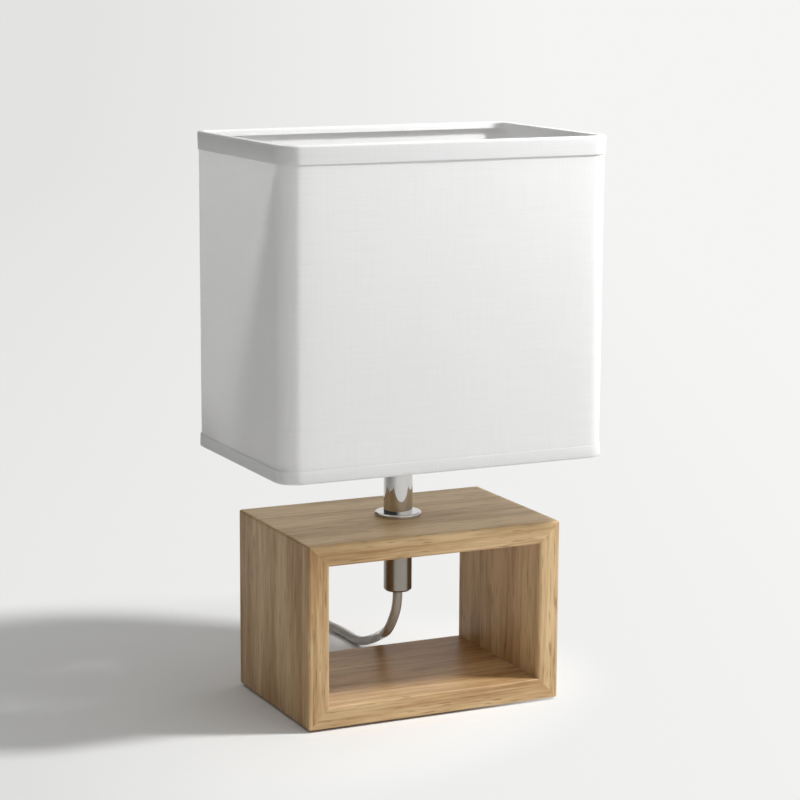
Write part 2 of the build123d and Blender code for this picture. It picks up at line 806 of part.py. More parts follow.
def cord_channel():
    """Cut the cord's way through both end walls."""
    with BuildSketch(cord_bore) as section:
        Circle(CORD_R + CORD_FIT)
    extrude(section.sketch, amount=SWITCH_L, mode=Mode.SUBTRACT)


with BuildPart() as lower_case:
    with BuildSketch(switch_base):
        case_plan(0)
    extrude(amount=SWITCH_SPLIT)
    fillet(lower_case.faces().sort_by(Axis.Z)[0].edges(), SWITCH_EDGE_R)
    with BuildSketch(switch_base.offset(SWITCH_WALL)):
        case_plan(SWITCH_WALL)
    extrude(amount=SWITCH_SPLIT, mode=Mode.SUBTRACT)
    with BuildSketch(switch_base.offset(SWITCH_WALL)):
        with GridLocations(2 * clamp_x, 0, 2, 1):
            Rectangle(CLAMP_L, CLAMP_W)
        with Locations(*screw_places):
            Circle(SCREW_BOSS_R)
    extrude(amount=SWITCH_SPLIT - SWITCH_WALL)
    cord_channel()
    with BuildSketch(switch_base):
        with Locations(*screw_places):
            Circle(CASE_SCREW_R + SCREW_FIT)
    extrude(amount=SWITCH_SPLIT, mode=Mode.SUBTRACT)
    with BuildSketch(switch_base):
        with Locations(*screw_places):
            Circle(SCREW_HEAD_R + SCREW_FIT)
    extrude(amount=SCREW_HEAD_T, mode=Mode.SUBTRACT)
save(lower_case, "switch_lower_case")

screw_depth = SWITCH_H - SWITCH_WALL
with BuildPart() as upper_case:
    with BuildSketch(switch_base.offset(SWITCH_SPLIT)):
        case_plan(0)
    extrude(amount=SWITCH_H - SWITCH_SPLIT)
    fillet(upper_case.faces().sort_by(Axis.Z)[-1].edges(), SWITCH_EDGE_R)
    with BuildSketch(switch_base.offset(SWITCH_SPLIT)):
        case_plan(SWITCH_WALL)
    extrude(amount=screw_depth - SWITCH_SPLIT, mode=Mode.SUBTRACT)
    with BuildSketch(switch_base.offset(SWITCH_SPLIT)):
        with Locations(*screw_places):
            Circle(SCREW_BOSS_R)
    extrude(amount=screw_depth - SWITCH_SPLIT)
    with BuildSketch(switch_base.offset(ROCKER_PIVOT_Z - CHEEK_T)):
        with GridLocations(0, 2 * cheek_inner + CHEEK_T, 1, 2):
            Rectangle(CHEEK_L, CHEEK_T)
    extrude(amount=screw_depth - ROCKER_PIVOT_Z + CHEEK_T)
    with BuildSketch(pivot_plane):
        Circle(PIN_R)
    extrude(amount=cheek_inner + CHEEK_T, both=True, mode=Mode.SUBTRACT)
    with BuildSketch(switch_base.offset(screw_depth)):
        Rectangle(2 * (ROCKER_R + ROCKER_GAP), 2 * cheek_inner)
    extrude(amount=SWITCH_WALL, mode=Mode.SUBTRACT)
    with BuildSketch(switch_base.offset(SWITCH_SPLIT)):
        with Locations(*screw_places):
            Circle(CASE_SCREW_R + SCREW_FIT)
    extrude(amount=screw_depth - SWITCH_SPLIT, mode=Mode.SUBTRACT)
    cord_channel()
save(upper_case, "switch_upper_case")

with BuildPart() as rocker:
    end_x = math.sqrt(ROCKER_R**2 - ROCKER_TOP**2)
    skirt_x = math.sqrt(ROCKER_R**2 - ROCKER_SKIRT**2)
    with BuildSketch(Plane(origin=pivot, x_dir=rocker_heading, z_dir=(1, 0, 0))):
        with BuildLine():
            ThreePointArc((-end_x, ROCKER_TOP), (0, ROCKER_TOP - ROCKER_DISH), (end_x, ROCKER_TOP))
            ThreePointArc((end_x, ROCKER_TOP), (ROCKER_R, 0), (skirt_x, -ROCKER_SKIRT))
            Polyline(
                (skirt_x, -ROCKER_SKIRT),
                (ROCKER_NOSE_W, -ROCKER_SKIRT),
                (ROCKER_NOSE_W / 2, -ROCKER_NOSE),
                (-ROCKER_NOSE_W / 2, -ROCKER_NOSE),
                (-ROCKER_NOSE_W, -ROCKER_SKIRT),
                (-skirt_x, -ROCKER_SKIRT),
            )
            ThreePointArc((-skirt_x, -ROCKER_SKIRT), (-ROCKER_R, 0), (-end_x, ROCKER_TOP))
        make_face()
        Circle(PIN_R + PIN_FIT, mode=Mode.SUBTRACT)
    extrude(amount=ROCKER_W / 2, both=True)
save(rocker, "switch_rocker")

with BuildPart() as rocker_pin:
    with BuildSketch(pivot_plane):
        Circle(PIN_R)
    extrude(amount=cheek_inner + CHEEK_T, both=True)
save(rocker_pin, "rocker_pin")

# Contacts: two terminals on the floor and a spring bridge that the rocker's nose presses shut
post_top = SWITCH_SPLIT - CONTACT_T
with BuildPart() as contacts:
    with BuildSketch(switch_base.offset(SWITCH_WALL)):
        with Locations((-CONTACT_X, CONTACT_Y), (CONTACT_X, CONTACT_Y)):
            Rectangle(CONTACT_L, CONTACT_W)
    extrude(amount=CONTACT_T)
    with BuildSketch(switch_base.offset(SWITCH_WALL + CONTACT_T)):
        with Locations((-CONTACT_X, CONTACT_Y)):
            Rectangle(POST_W, CONTACT_W)
    extrude(amount=post_top - SWITCH_WALL - CONTACT_T)
    with BuildSketch(switch_base.offset(SWITCH_WALL + CONTACT_T)):
        with Locations((CONTACT_X, CONTACT_Y)):
            Rectangle(POST_W, CONTACT_W)
    extrude(amount=post_top - SWITCH_WALL - CONTACT_T - BRIDGE_GAP)
save(contacts, "switch_contacts")

with BuildPart() as bridge:
    with BuildSketch(switch_base.offset(post_top)):
        with Locations((0, CONTACT_Y)):
            Rectangle(2 * CONTACT_X + POST_W, CONTACT_W)
    extrude(amount=CONTACT_T)
save(bridge, "contact_bridge")

with BuildPart() as case_screws:
    with BuildSketch(switch_base):
        with Locations(*screw_places):
            Circle(SCREW_HEAD_R)
        with Locations(*screw_places):
            Rectangle(2 * SCREW_HEAD_R, SLOT_W, mode=Mode.SUBTRACT)
    extrude(amount=SLOT_DEPTH)
    with BuildSketch(switch_base.offset(SLOT_DEPTH)):
        with Locations(*screw_places):
            Circle(SCREW_HEAD_R)
    extrude(amount=SCREW_HEAD_T - SLOT_DEPTH)
    with BuildSketch(switch_base.offset(SCREW_HEAD_T)):
        with Locations(*screw_places):
            Circle(CASE_SCREW_R)
    extrude(amount=screw_depth - 2 * SCREW_HEAD_T)
save(case_screws, "case_screws")

with BuildPart() as clamps:
    with BuildSketch(switch_base.offset(SWITCH_SPLIT)):
        with GridLocations(2 * clamp_x, 0, 2, 1):
            Rectangle(CLAMP_L, CLAMP_W)
    extrude(amount=CORD_R + CLAMP_RISE)
    cord_channel()
save(clamps, "cord_clamps")

with BuildPart() as switch_wires:
    wire_z = SWITCH_SPLIT - CORD_R + WIRE_CORE_R
    neutral = Plane(origin=(SWITCH_X + CORE_OFFSET, SWITCH_Y, wire_z), z_dir=(0, 1, 0))
    live = Plane(origin=(SWITCH_X - CORE_OFFSET, SWITCH_Y, wire_z), z_dir=(0, 1, 0))
    post_x = CONTACT_X + POST_W / 2
    with BuildSketch(neutral):
        Circle(WIRE_CORE_R)
    extrude(amount=insert_x, both=True)
    for plane in (live.offset(-insert_x), live.offset(post_x)):
        with BuildSketch(plane):
            Circle(WIRE_CORE_R)
        extrude(amount=insert_x - post_x)
save(switch_wires, "switch_wires")

# Plug, with its own x towards the pins
plug_rear = hank_point(PLUG_A, 0, plug_z)
plug_frame = Plane(origin=plug_rear, x_dir=along * -1, z_dir=(0, 0, 1))
pin_face = Plane(origin=plug_rear - along * PLUG_L, x_dir=across * -1, z_dir=along * -1)
relief_plane = Plane(origin=plug_rear, x_dir=(0, 0, 1), z_dir=across * -1)


def pin_locations():
    """Places of the two pins on the plug's face."""
    return GridLocations(PLUG_PIN_SPACING, 0, 2, 1)


with BuildPart() as plug_body:
    with BuildSketch(plug_frame.offset(-PLUG_T / 2)):
        half = [
            (0, PLUG_REAR_W / 2),
            (PLUG_SHOULDER, PLUG_W / 2),
            (PLUG_WAIST, PLUG_W / 2),
            (PLUG_L, PLUG_FRONT_W / 2),
        ]
        Polygon(*half, *[(x, -y) for x, y in reversed(half)], align=None)
    extrude(amount=PLUG_T)
    rim = plug_body.edges().group_by(Axis.Z)
    fillet(rim[0] + rim[-1], PLUG_EDGE_R)
    with BuildSketch(pin_face):
        with pin_locations():
            Circle(PLUG_PIN_CORE_R + PLUG_PIN_FIT)
    extrude(amount=-PLUG_PIN_DEPTH, mode=Mode.SUBTRACT)
save(plug_body, "plug_body")

with BuildPart() as plug_pins:
    with BuildSketch(pin_face.offset(-PLUG_PIN_DEPTH)):
        with pin_locations():
            Circle(PLUG_PIN_CORE_R)
    extrude(amount=PLUG_PIN_DEPTH + SLEEVE_L)
    with BuildSketch(pin_face.offset(SLEEVE_L)):
        with pin_locations():
            Circle(PLUG_PIN_R)
    extrude(amount=PLUG_PIN_L - SLEEVE_L)
    tips = plug_pins.faces().filter_by(GeomType.PLANE).sort_by(Axis(plug_rear, along))[:2]
    fillet(tips.edges(), PLUG_PIN_TIP_R)
save(plug_pins, "plug_pins")

with BuildPart() as sleeves:
    with BuildSketch(pin_face):
        with pin_locations():
            Circle(SLEEVE_R)
        with pin_locations():
            Circle(PLUG_PIN_CORE_R + PLUG_PIN_FIT, mode=Mode.SUBTRACT)
    extrude(amount=SLEEVE_L)
save(sleeves, "pin_sleeves")

with BuildPart() as relief:
    bore = CORD_R + CORD_FIT
    rib = RELIEF_L / RELIEF_RIBS
    outline = [(bore, 0), (RELIEF_ROOT_R, 0)]
    for step in range(1, RELIEF_RIBS):
        r = RELIEF_ROOT_R + (RELIEF_TIP_R - RELIEF_ROOT_R) * step / RELIEF_RIBS
        y = step * rib
        groove_r = r - RELIEF_GROOVE
        outline += [(r, y - rib / 3), (groove_r, y - rib / 4), (groove_r, y), (r, y + rib / 12)]
    outline += [(RELIEF_TIP_R, RELIEF_L), (bore, RELIEF_L)]
    with BuildSketch(relief_plane):
        Polygon(*outline, align=None)
    revolve(axis=Axis(plug_rear, along))
save(relief, "plug_strain_relief")

cord_length = lead_length + SWITCH_L - 2 * SWITCH_INSERT + hank_length
print("cord from grip to plug", round(cord_length, 1))
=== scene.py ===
"""Dresses the bedside lamp: cloth shade, lead and hank, the finish of every part, and a plain stage."""

import math

import bmesh
import bpy
from bpy.props import FloatProperty, FloatVectorProperty, PointerProperty
from mathutils import Matrix, Vector


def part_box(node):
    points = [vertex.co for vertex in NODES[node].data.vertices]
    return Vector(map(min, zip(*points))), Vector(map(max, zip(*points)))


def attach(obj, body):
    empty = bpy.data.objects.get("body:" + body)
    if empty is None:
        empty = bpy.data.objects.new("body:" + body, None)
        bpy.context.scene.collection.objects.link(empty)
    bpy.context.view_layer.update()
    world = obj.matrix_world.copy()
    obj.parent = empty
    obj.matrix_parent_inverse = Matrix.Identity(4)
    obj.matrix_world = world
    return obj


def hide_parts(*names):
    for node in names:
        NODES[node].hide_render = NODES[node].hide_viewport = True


bl_info = {
    "name": "Bedside Lamp",
    "version": (1, 0, 0),
    "blender": (4, 5, 0),
    "location": "View3D > Sidebar > Lamp",
    "description": "Cloth, lead, finishes and stage of a bedside lamp with a box shade",
    "category": "Object",
}

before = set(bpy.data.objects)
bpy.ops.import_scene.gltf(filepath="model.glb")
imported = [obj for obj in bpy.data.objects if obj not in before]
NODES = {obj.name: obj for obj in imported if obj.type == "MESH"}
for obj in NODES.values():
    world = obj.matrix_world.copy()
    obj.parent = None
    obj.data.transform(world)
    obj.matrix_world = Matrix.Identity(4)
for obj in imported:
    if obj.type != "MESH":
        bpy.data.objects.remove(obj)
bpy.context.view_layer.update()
SHADE_LOW, SHADE_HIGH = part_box("shade_cover")
HEM_LOW, HEM_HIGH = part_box("bottom_hem")[0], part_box("top_hem")[1]
MM = 0.001
SMOOTH_ANGLE = math.radians(50)

# Sockets of the Mix node when it mixes colours
MIX_A = 6
MIX_B = 7
MIX_OUT = 2


def linear(hex_code):
    """A linear RGB colour from an sRGB hex value."""
    channels = [int(hex_code[i:i + 2], 16) / 255 for i in (1, 3, 5)]
    return [c / 12.92 if c <= 0.04045 else ((c + 0.055) / 1.055) ** 2.4 for c in channels]


def colour(hex_code, label, description):
    """A colour property with its default given as sRGB hex."""
    return FloatVectorProperty(
        name=label,
        description=description,
        subtype="COLOR",
        size=3,
        min=0.0,
        max=1.0,
        default=linear(hex_code),
    )


def length(metres, label, description):
    """A length property in metres."""
    return FloatProperty(
        name=label,
        description=description,
        default=metres,
        min=0.0,
        subtype="DISTANCE",
        unit="LENGTH",
    )


class ShadeSettings(bpy.types.PropertyGroup):
    """Sizes and colours of the cloth shade"""

    width: length(SHADE_HIGH.x - SHADE_LOW.x, "Width", "Outside width of the cloth wall")
    depth: length(SHADE_HIGH.y - SHADE_LOW.y, "Depth", "Outside depth of the cloth wall")
    corner: length(11 * MM, "Corner radius", "Radius of the upright corners")
    bottom: length(HEM_LOW.z, "Bottom", "Height of the lower edge above the table")
    top: length(HEM_HIGH.z, "Top", "Height of the upper edge above the table")
    wall: length(1.0 * MM, "Wall", "Thickness of the cloth with its liner")
    hem_cloth: length(0.5 * MM, "Hem cloth", "How far the folded hem stands outside the cloth wall")
    hem_width: length(4.4 * MM, "Hem width", "Width of the folded edge over its wire")
    hem_round: length(1.5 * MM, "Hem rounding", "Height in which the hem turns over its wire")
    hem_edge: length(0.3 * MM, "Hem edge", "Thickness of the hem's open edge on the cloth")
    top_band: length(9.8 * MM, "Top band", "Height of the top hem outside")
    bottom_band: length(7.0 * MM, "Bottom band", "Height of the bottom hem outside")
    fold: length(3.6 * MM, "Inside fold", "Height of both hems inside")
    slack: length(0.5 * MM, "Slack", "How far the cloth stands off a true plane")
    thread: length(0.8 * MM, "Thread spacing", "Distance between two threads of the weave")
    cotton: colour("#fdfdfd", "Cotton", "Bleached cotton")
    # Painted shade: the gaps between the threads are drawn darker, as shade falls in them; the slubs vary
    # the same tone at random
    thread_shade_and_slub_tone: colour("#f5f5f5", "Thread gaps", "Cotton between the threads and along slubs")


class LeadSettings(bpy.types.PropertyGroup):
    """Sizes and colours of the clear flex"""

    diameter: length(5.4 * MM, "Diameter", "Outside of the round flex")
    twist: length(22 * MM, "Twist", "Length in which the two cores go round once")
    sheath: colour("#b9b4ab", "Sheath", "Clear grey PVC over shadow")
    cores: colour("#c7c3bb", "Cores", "Conductors that show through the sheath")


class WoodSettings(bpy.types.PropertyGroup):
    """Colours and grain of the boards"""

    early: colour("#dabc90", "Early wood", "Light wood between the growth lines")
    late: colour("#9d7345", "Late wood", "Darker wood at the growth lines")
    pore: colour("#6f5234", "Pores", "Open pores along the grain")
    ring: length(5.0 * MM, "Growth lines", "Distance between two growth lines")
    fibre: length(1.1 * MM, "Fibre", "Width of a fibre streak")


class StageSettings(bpy.types.PropertyGroup):
    """Floor, background and light of the stage"""

    floor: colour("#f0f0ef", "Floor", "Painted floor")
    backdrop: colour("#f5f5f4", "Backdrop", "Background on the lit side")
    backdrop_far: colour("#e3e3e2", "Backdrop, far side", "Background on the side away from the main lamp")
    key_power: FloatProperty(
        name="Key",
        description="Power of the main lamp in watts",
        default=5.1,
        min=0.0,
        unit="POWER",
    )
    key_place: FloatVectorProperty(
        name="Key place",
        description="Where the main lamp stands",
        size=3,
        subtype="TRANSLATION",
        unit="LENGTH",
        default=(0.40, -0.225, 0.68),
    )
    key_size: length(0.1, "Key size", "Width of the main lamp's soft box")
    fill: FloatProperty(
        name="Fill",
        description="Strength of the soft light, most of it from the right and front",
        default=0.78,
        min=0.0,
    )


# Node helpers


def add(tree, kind, inputs=None, **settings):
    """Add a node with its settings; inputs are values to set or sockets to link."""
    made = tree.nodes.new(kind)
    for key, value in settings.items():
        setattr(made, key, value)
    for key, value in (inputs or {}).items():
        if isinstance(value, bpy.types.NodeSocket):
            tree.links.new(value, made.inputs[key])
        else:
            made.inputs[key].default_value = value
    return made


def calc(tree, operation, *values):
    """The result of an operation on numbers or sockets."""
    return add(tree, "ShaderNodeMath", dict(enumerate(values)), operation=operation).outputs[0]


def stretched(tree, vector, scale):
    """Coordinates scaled along each axis."""
    return add(tree, "ShaderNodeMapping", {"Vector": vector, "Scale": scale}).outputs[0]


def distance_along(tree, vector, direction):
    """How far a vector reaches along a direction."""
    inputs = {0: vector, 1: direction}
    return add(tree, "ShaderNodeVectorMath", inputs, operation="DOT_PRODUCT").outputs["Value"]


def noise(tree, vector, scale, detail):
    """Noise on given coordinates."""
    inputs = {"Vector": vector, "Scale": scale, "Detail": detail}
    return add(tree, "ShaderNodeTexNoise", inputs).outputs["Fac"]


def remap(tree, value, low=0.0, high=1.0, start=0.0, end=1.0, curve="LINEAR"):
    """A value carried from low and high to start and end, and held there."""
    inputs = {"Value": value, "From Min": low, "From Max": high, "To Min": start, "To Max": end}
    return add(tree, "ShaderNodeMapRange", inputs, interpolation_type=curve).outputs["Result"]


def blend(tree, share, first, second):
    """Two colours mixed by a share."""
    inputs = {0: share, MIX_A: first, MIX_B: second}
    return add(tree, "ShaderNodeMix", inputs, data_type="RGBA").outputs[MIX_OUT]


def relief(tree, height, strength, depth):
    """A surface normal that follows a height."""
    inputs = {"Height": height, "Strength": strength, "Distance": depth}
    return add(tree, "ShaderNodeBump", inputs).outputs["Normal"]


def mix_surface(tree, share, shader, other):
    """Put a mix of two shaders on the material's surface."""
    both = add(tree, "ShaderNodeMixShader", {0: share, 1: shader.outputs["BSDF"], 2: other.outputs[0]})
    tree.links.new(both.outputs[0], tree.nodes["Material Output"].inputs["Surface"])


def finish(name, **sockets):
    """A new material with its Principled shader's sockets set; underscores stand for spaces."""
    material = bpy.data.materials.new(name)
    material.use_nodes = True
    shader = material.node_tree.nodes["Principled BSDF"]
    for key, value in sockets.items():
        shader.inputs[key.replace("_", " ")].default_value = value
    return material, material.node_tree, shader


def feed(tree, shader, **sockets):
    """Link sockets to a shader; underscores stand for spaces."""
    for key, value in sockets.items():
        tree.links.new(value, shader.inputs[key.replace("_", " ")])


def rgba(values):
    """A colour with full alpha."""
    return (*values, 1.0)


def hex_rgba(hex_code):
    """A linear colour with full alpha from an sRGB hex value."""
    return rgba(linear(hex_code))


# Piece helpers


def dress(material, *names):
    """Give CAD nodes a finish."""
    for name in names:
        NODES[name].data.materials.clear()
        NODES[name].data.materials.append(material)


def settle(piece, material, body, slot, *nodes):
    """Finish a new piece: its material, the body it rides on and the nodes it stands for; the slot is not
    used.
    """
    piece.data.materials.append(material)
    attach(piece, body)
    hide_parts(*nodes)


def apply_modifiers(piece):
    """Apply a piece's modifiers in order."""
    for modifier in list(piece.modifiers):
        bpy.ops.object.modifier_apply(modifier=modifier.name)


# Finishes, with texture scales in waves to the metre

PLASTIC_CLOUD = 60.0
METAL_BLOTCH = 90.0


def moulded(name, hex_code, roughness, grain, depth, **sockets):
    """Moulded plastic: even colour with a faint cloud, and a fine spark-eroded grain."""
    material, tree, shader = finish(name, Roughness=roughness, **sockets)
    place = add(tree, "ShaderNodeTexCoord").outputs["Object"]
    base = Vector(linear(hex_code))
    cloud = noise(tree, place, PLASTIC_CLOUD, detail=2.0)
    texture = noise(tree, place, 1 / grain, detail=3.0)
    feed(
        tree,
        shader,
        Base_Color=blend(tree, cloud, rgba(base * 0.94), rgba(base * 1.04)),
        Normal=relief(tree, texture, strength=0.25, depth=depth),
    )
    return material


def plated(name, hex_code, roughness, line, stretch, spread):
    """Metal with fine lines from turning or drawing, and a roughness that varies along them."""
    material, tree, shader = finish(name, Metallic=1.0)
    place = add(tree, "ShaderNodeTexCoord").outputs["Object"]
    base = Vector(linear(hex_code))
    lines = noise(tree, stretched(tree, place, stretch), 1 / line, detail=4.0)
    blotch = noise(tree, place, METAL_BLOTCH, detail=3.0)
    feed(
        tree,
        shader,
        Base_Color=blend(tree, blotch, rgba(base * 0.9), rgba(base * 1.06)),
        Roughness=remap(tree, lines, start=roughness - spread, end=roughness + spread),
        Normal=relief(tree, lines, strength=spread, depth=0.05 * MM),
    )
    return material


# Grain of the boards: each pattern is drawn out along the board, its own X
DRIFT_STRETCH = (0.12, 1.0, 1.0)
FIBRE_STRETCH = (0.05, 1.0, 1.0)
PORE_STRETCH = (0.07, 1.0, 1.0)
DRIFT_SCALE = 26.0
PATCH_SCALE = 60.0
PORE_SCALE = 900.0
RING_SWAY = (0.0, 0.016, 0.016)
RING_SHARE = 0.22
PATCH_SHARE = 1.7
LIGHT_TONE = 1.06
DARK_TONE = 1.86
# A wave texture turns 20 radians to each unit of its scale
WAVE_TURN = 20.0


def oiled_oak(name, wood, turn, heart, tone_and_painted_light):
    """Oiled oak, planed and sanded: growth lines along the board, fibre, short open pores, a low sheen."""
    material, tree, shader = finish(name, Specular_IOR_Level=0.25)
    place = add(tree, "ShaderNodeTexCoord").outputs["Object"]
    mapping = {"Vector": place, "Rotation": turn, "Location": heart}
    board = add(tree, "ShaderNodeMapping", mapping).outputs[0]
    slow = stretched(tree, board, DRIFT_STRETCH)
    drift = add(tree, "ShaderNodeTexNoise", {"Vector": slow, "Scale": DRIFT_SCALE, "Detail": 2.0})
    swayed = {0: drift.outputs["Color"], 1: RING_SWAY, 2: board}
    sway = add(tree, "ShaderNodeVectorMath", swayed, operation="MULTIPLY_ADD")
    rings = add(
        tree,
        "ShaderNodeTexWave",
        {"Vector": sway.outputs[0], "Scale": 2 * math.pi / WAVE_TURN / wood.ring, "Distortion": 0.0},
        wave_type="RINGS",
        rings_direction="X",
        wave_profile="SAW",
    )
    fibre = noise(tree, stretched(tree, board, FIBRE_STRETCH), 1 / wood.fibre, detail=4.0)
    patch = noise(tree, slow, PATCH_SCALE, detail=3.0)
    lines = calc(tree, "MULTIPLY_ADD", rings.outputs["Fac"], RING_SHARE, fibre)
    tone = calc(tree, "MULTIPLY_ADD", patch, PATCH_SHARE, lines)
    # The tone shifts the whole board lighter or darker; on the boards this is partly painted light and
    # shade
    share = remap(tree, tone, low=LIGHT_TONE - tone_and_painted_light, high=DARK_TONE - tone_and_painted_light)
    body = blend(tree, share, rgba(wood.early), rgba(wood.late))
    pits = noise(tree, stretched(tree, board, PORE_STRETCH), PORE_SCALE, detail=1.0)
    pores = remap(tree, pits, low=0.62, high=0.74, end=0.55, curve="SMOOTHSTEP")
    feed(
        tree,
        shader,
        Base_Color=blend(tree, pores, body, rgba(wood.pore)),
        Roughness=remap(tree, fibre, start=0.34, end=0.5),
        Normal=relief(tree, calc(tree, "SUBTRACT", fibre, pores), strength=0.3, depth=0.12 * MM),
    )
    return material


# Weave: slubs along the weft and the warp, and the share of light that comes through
SLUB_STRETCHES = ((30.0, 900.0, 1.0), (900.0, 30.0, 1.0))
THREAD_SHARE = 0.5
CLOTH_TRANSLUCENCY = 0.32


def white_cotton(shade):
    """Bleached cotton on a white liner: a matt plain weave with thin slubs that lets some light through.

    A real thread is half as wide; it is drawn as wide as it needs to show.
    """
    material, tree, shader = finish("white cotton shade cloth", Roughness=0.9, Specular_IOR_Level=0.2)
    place = add(tree, "ShaderNodeTexCoord").outputs["UV"]
    waves = {0: place, "Scale": math.pi / shade.thread}
    threads = add(tree, "ShaderNodeVectorMath", waves, operation="SCALE")
    crossing = add(tree, "ShaderNodeVectorMath", {0: threads.outputs[0]}, operation="SINE")
    split = add(tree, "ShaderNodeSeparateXYZ", {0: crossing.outputs[0]})
    weave = calc(tree, "ABSOLUTE", calc(tree, "MULTIPLY", split.outputs["X"], split.outputs["Y"]))
    slubs = [noise(tree, stretched(tree, place, scale), 1.0, detail=2.0) for scale in SLUB_STRETCHES]
    height = calc(tree, "MULTIPLY_ADD", weave, THREAD_SHARE, calc(tree, "MULTIPLY", *slubs))
    share = remap(tree, height, low=0.2, high=0.75)
    # The gaps between the threads take the darker colour as painted shade; the slubs shift it at random
    cloth = blend(tree, share, rgba(shade.thread_shade_and_slub_tone), rgba(shade.cotton))
    normal = relief(tree, height, strength=0.1, depth=0.1 * MM)
    feed(tree, shader, Base_Color=cloth, Normal=normal)
    through = add(tree, "ShaderNodeBsdfTranslucent", {"Color": cloth, "Normal": normal})
    mix_surface(tree, CLOTH_TRANSLUCENCY, shader, through)
    return material


CORE_COUNT = 2.0
SCUFF_SCALE = 700.0


def clear_flex(name, lead, cord_length):
    """Round flex in clear grey PVC: glossy, with the two twisted cores faintly lighter inside."""
    material, tree, shader = finish(
        name, Roughness=0.2, IOR=1.53, Transmission_Weight=0.18, Coat_Weight=0.2, Coat_Roughness=0.15
    )
    place = add(tree, "ShaderNodeTexCoord")
    turns = distance_along(tree, place.outputs["UV"], (cord_length / lead.twist, CORE_COUNT, 0.0))
    swell = calc(tree, "COSINE", calc(tree, "MULTIPLY", turns, 2 * math.pi))
    share = remap(tree, swell, low=-0.3, high=0.9, end=0.75, curve="SMOOTHSTEP")
    scuffs = noise(tree, place.outputs["Object"], SCUFF_SCALE, detail=2.0)
    feed(
        tree,
        shader,
        Base_Color=blend(tree, share, rgba(lead.sheath), rgba(lead.cores)),
        Normal=relief(tree, scuffs, strength=0.08, depth=0.1 * MM),
    )
    return material


BROWN_WIRE = "#5a3a22"
BLUE_WIRE = "#2f4f86"
STREAK_SCALE = 900.0


def two_wires(name, middle):
    """PVC on the two wires: brown on one side of the middle, blue on the other, a little glossy."""
    material, tree, shader = finish(name, Roughness=0.35)
    place = add(tree, "ShaderNodeTexCoord").outputs["Object"]
    split = add(tree, "ShaderNodeSeparateXYZ", {0: place})
    side = calc(tree, "GREATER_THAN", split.outputs["X"], middle)
    streaks = noise(tree, place, STREAK_SCALE, detail=2.0)
    feed(
        tree,
        shader,
        Base_Color=blend(tree, side, hex_rgba(BROWN_WIRE), hex_rgba(BLUE_WIRE)),
        Normal=relief(tree, streaks, strength=0.1, depth=0.1 * MM),
    )
    return material


FELT_DARK = "#2b2723"
FELT_LIGHT = "#6b6359"
FUZZ_SCALE = 1400.0


def pressed_felt():
    """Pressed wool felt: dark, matt and fuzzy."""
    material, tree, shader = finish("pressed felt", Roughness=1.0, Sheen_Weight=0.4, Specular_IOR_Level=0.1)
    place = add(tree, "ShaderNodeTexCoord").outputs["Object"]
    fuzz = noise(tree, place, FUZZ_SCALE, detail=5.0)
    feed(
        tree,
        shader,
        Base_Color=blend(tree, fuzz, hex_rgba(FELT_DARK), hex_rgba(FELT_LIGHT)),
        Normal=relief(tree, fuzz, strength=0.8, depth=0.3 * MM),
    )
    return material


# Cloth helpers: rings of edges in the shade's plan, joined into walls

CORNER_SEGMENTS = 10
SIDE_CUTS = 15
LONG_EDGE = 0.03
SAME_PLACE = 1e-6


def open_mesh(name):
    """Start an empty piece at the origin and go into edit mode."""
    bpy.ops.object.select_all(action="DESELECT")
    bpy.ops.mesh.primitive_plane_add()
    piece = bpy.context.active_object
    piece.name = name
    bpy.ops.object.mode_set(mode="EDIT")
    bpy.ops.mesh.delete(type="VERT")
    return piece


def add_ring(piece, shade, grow, height):
    """Add a rounded rectangle of edges, grown outwards from the shade's plan."""
    bpy.ops.mesh.select_all(action="DESELECT")
    bpy.ops.mesh.primitive_plane_add(size=1.0, location=(0, 0, height))
    bpy.ops.transform.resize(
        value=(shade.width + 2 * grow, shade.depth + 2 * grow, 1.0), center_override=(0, 0, height)
    )
    bpy.ops.mesh.bevel(offset=shade.corner + grow, segments=CORNER_SEGMENTS, affect="VERTICES")
    bpy.ops.mesh.delete(type="ONLY_FACE")
    bpy.ops.mesh.select_mode(type="EDGE")
    mesh = bmesh.from_edit_mesh(piece.data)
    for edge in mesh.edges:
        edge.select_set(edge.is_wire and edge.calc_length() > LONG_EDGE)
    bpy.ops.mesh.subdivide(number_cuts=SIDE_CUTS)


def join_rings(piece, first_height, rows):
    """Bridge the newest ring to the open edge of what is there."""
    mesh = bmesh.from_edit_mesh(piece.data)
    for edge in mesh.edges:
        at_start = abs(edge.verts[0].co.z - first_height) < SAME_PLACE
        edge.select_set(edge.is_wire or (edge.is_boundary and not at_start))
    bpy.ops.mesh.bridge_edge_loops(number_cuts=rows)


def cloth_wall(name, shade, profile, rows=0):
    """A wall of cloth through rings given as (growth, height)."""
    piece = open_mesh(name)
    for number, (grow, height) in enumerate(profile):
        add_ring(piece, shade, grow, height)
        if number:
            join_rings(piece, profile[0][1], rows)
    bpy.ops.mesh.select_all(action="SELECT")
    bpy.ops.mesh.remove_doubles(threshold=SAME_PLACE)
    bpy.ops.mesh.normals_make_consistent(inside=False)
    lay_cloth_map(piece, shade)
    bpy.ops.object.mode_set(mode="OBJECT")
    return piece


def thicken(piece, name, thickness):
    """Give a wall of cloth its thickness, inwards, and smooth it."""
    wall = piece.modifiers.new(name, "SOLIDIFY")
    wall.thickness = thickness
    wall.offset = -1.0
    apply_modifiers(piece)
    bpy.ops.object.shade_smooth_by_angle(angle=SMOOTH_ANGLE)


